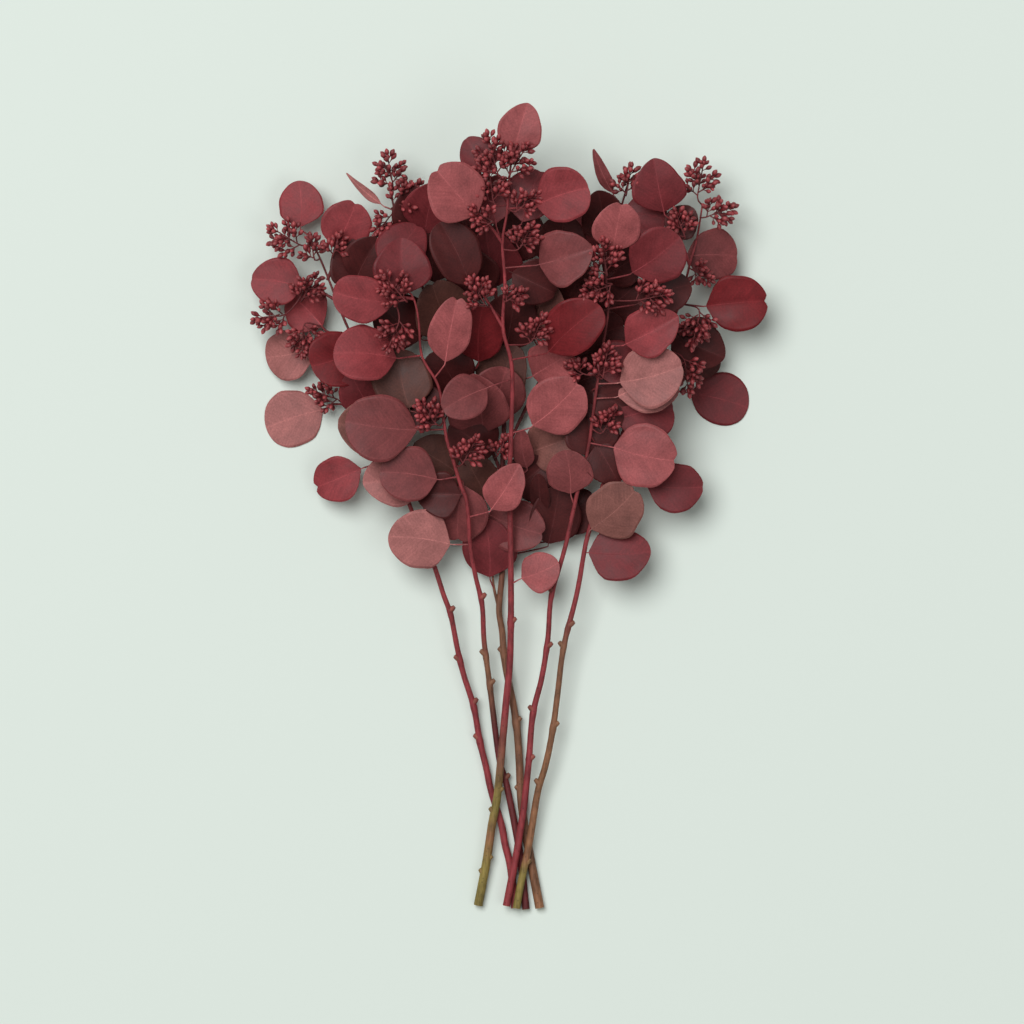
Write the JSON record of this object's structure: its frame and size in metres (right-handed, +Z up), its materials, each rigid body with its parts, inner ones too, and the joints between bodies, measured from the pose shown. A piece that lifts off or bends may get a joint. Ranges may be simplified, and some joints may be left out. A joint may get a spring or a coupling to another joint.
{
  "type": "eucalyptus branch bunch",
  "caption": "Loose bunch of cut eucalyptus branches lying flat, with round burgundy leaves and sprays of small pointed buds on bare woody stems.",
  "frame": {"origin": "middle of the bunch's footprint, on the surface it lies on", "axes": "+Y along the bunch from the cut ends to the leafy tips, +X to the right seen from above, +Z up"},
  "size_m": [0.4159, 0.6452, 0.114],
  "materials": {
    "branch_front": "matt",
    "branch_left_centre": "matt",
    "branch_right_centre": "matt",
    "branch_right": "matt",
    "branch_left": "matt",
    "branch_back": "matt"
  },
  "bodies": {
    "root": {"branch_front": "branch_front", "branch_left_centre": "branch_left_centre", "branch_right_centre": "branch_right_centre", "branch_right": "branch_right", "branch_left": "branch_left", "branch_back": "branch_back"}
  },
  "joints": []
}
